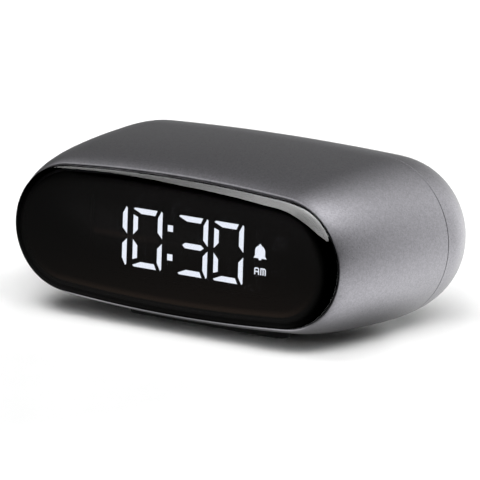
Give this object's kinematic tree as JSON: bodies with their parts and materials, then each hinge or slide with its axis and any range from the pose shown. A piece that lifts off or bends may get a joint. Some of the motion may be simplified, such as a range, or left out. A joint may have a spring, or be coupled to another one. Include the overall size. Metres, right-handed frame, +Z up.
{
  "type": "digital alarm clock",
  "caption": "Palm-sized bedside alarm clock: pebble-shaped case, black domed lens over a seven-segment light display, push buttons, alarm slider and charging socket at the back.",
  "frame": {"origin": "on the table under the middle of the clock, in the plane of the undersides of the feet", "axes": "+X along the width, to the right of a person who reads the display; -Y the way the display faces; +Z up"},
  "size_m": [0.095, 0.0524, 0.0397],
  "materials": {
    "case_paint": "satin gunmetal paint with a fine metallic grain",
    "panel_plastic": "finely textured black",
    "button_plastic": "satin dark grey",
    "foot_rubber": "matte",
    "lens_black": "polished black",
    "frame_plastic": "matte black",
    "mask_black": "printed black film",
    "reflector_white": "white",
    "display_light": "lit cool white diffuser",
    "display_unlit": "unlit smoked diffuser",
    "light_chip": "clear resin over phosphor",
    "circuit_board": "green solder mask",
    "chip_black": "moulded black resin",
    "chip_ceramic": "fired",
    "connector_white": "white nylon",
    "switch_metal": "tinned",
    "screw_steel": "blackened",
    "battery_foil": "silver laminate",
    "cone_paper": "black pulp",
    "foil_copper": "bare copper foil",
    "tape": "black foam tape",
    "lead_rubber": "red and black insulation"
  },
  "bodies": {
    "case": {"battery_cell": "battery_foil", "battery_leads": "lead_rubber", "battery_tape_pad": "tape", "battery_tray": "frame_plastic", "battery_tray_screws": "screw_steel", "bell_mark": "display_light", "charging_socket": "switch_metal", "chip_capacitors": "chip_ceramic", "clock_crystal": "switch_metal", "colon_dots": "display_light", "display_board": "circuit_board", "display_board_screws": "screw_steel", "display_driver": "chip_black", "display_frame": "frame_plastic", "display_frame_screws": "screw_steel", "display_lights": "light_chip", "display_mask": "mask_black", "front_foot": "foot_rubber", "front_lens": "lens_black", "lead_socket": "connector_white", "lens_tape": "tape", "lit_segments": "display_light", "main_board": "circuit_board", "main_board_screws": "screw_steel", "main_housing": "case_paint", "microcontroller": "chip_black", "morning_mark": "display_light", "push_switches": "switch_metal", "rear_cover": "case_paint", "rear_cover_screws": "screw_steel", "rear_foot": "foot_rubber", "rear_panel": "panel_plastic", "rear_panel_tape": "tape", "reflector_block": "reflector_white", "ribbon_cable": "connector_white", "ribbon_sockets": "connector_white", "slide_switch": "switch_metal", "socket_tongue": "chip_black", "speaker_basket": "switch_metal", "speaker_cone": "cone_paper", "speaker_gasket_ring": "tape", "speaker_leads": "lead_rubber", "speaker_magnet": "switch_metal", "touch_foil": "foil_copper", "touch_lead": "lead_rubber", "unlit_segments": "display_unlit"},
    "clock_button": {"clock_button": "button_plastic", "clock_plunger": "chip_black"},
    "minus_button": {"minus_button": "button_plastic", "minus_plunger": "chip_black"},
    "plus_button": {"plus_button": "button_plastic", "plus_plunger": "chip_black"},
    "alarm_button": {"alarm_button": "button_plastic", "alarm_plunger": "chip_black"},
    "alarm_slider": {"alarm_slider": "button_plastic", "slider_lever": "chip_black"}
  },
  "joints": [
    {"name": "clock_button_press", "type": "slide", "parent": "case", "child": "clock_button", "axis": [0, -1, 0], "range_m": [0, 0.0004], "stiffness_N_per_m": 800},
    {"name": "minus_button_press", "type": "slide", "parent": "case", "child": "minus_button", "axis": [0, -1, 0], "range_m": [0, 0.0004], "stiffness_N_per_m": 800},
    {"name": "plus_button_press", "type": "slide", "parent": "case", "child": "plus_button", "axis": [0, -1, 0], "range_m": [0, 0.0004], "stiffness_N_per_m": 800},
    {"name": "alarm_button_press", "type": "slide", "parent": "case", "child": "alarm_button", "axis": [0, -1, 0], "range_m": [0, 0.0004], "stiffness_N_per_m": 800},
    {"name": "alarm_slider_slide", "type": "slide", "parent": "case", "child": "alarm_slider", "axis": [1, 0, 0], "range_m": [0, 0.002]}
  ]
}
